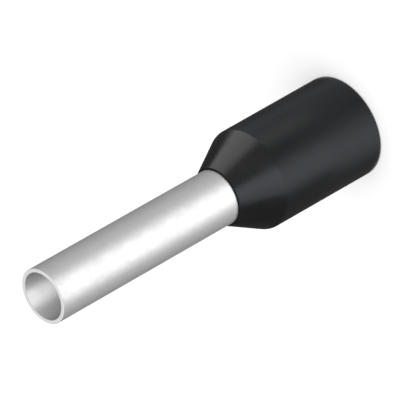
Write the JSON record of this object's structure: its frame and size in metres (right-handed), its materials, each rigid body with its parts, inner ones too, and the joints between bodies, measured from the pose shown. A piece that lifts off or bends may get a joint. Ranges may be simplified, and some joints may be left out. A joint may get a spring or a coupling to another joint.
{
  "type": "wire ferrule",
  "caption": "Insulated wire end sleeve: a thin tinned tube with a hidden flared end, gripped by a black moulded collar with a cone and a wide bore for the wire's insulation.",
  "frame": {"origin": "centre of the collar's wire end, on the axis, where the part stands", "axes": "+Z along the axis, from the wire end towards the tube's tip; the part is round, so X and Y are free"},
  "size_m": [0.0036, 0.0036, 0.014],
  "materials": {
    "tinned_metal": "satin tin plate",
    "collar_plastic": "fine moulded satin"
  },
  "bodies": {
    "root": {"metal_sleeve": "tinned_metal", "insulating_collar": "collar_plastic"}
  },
  "joints": []
}
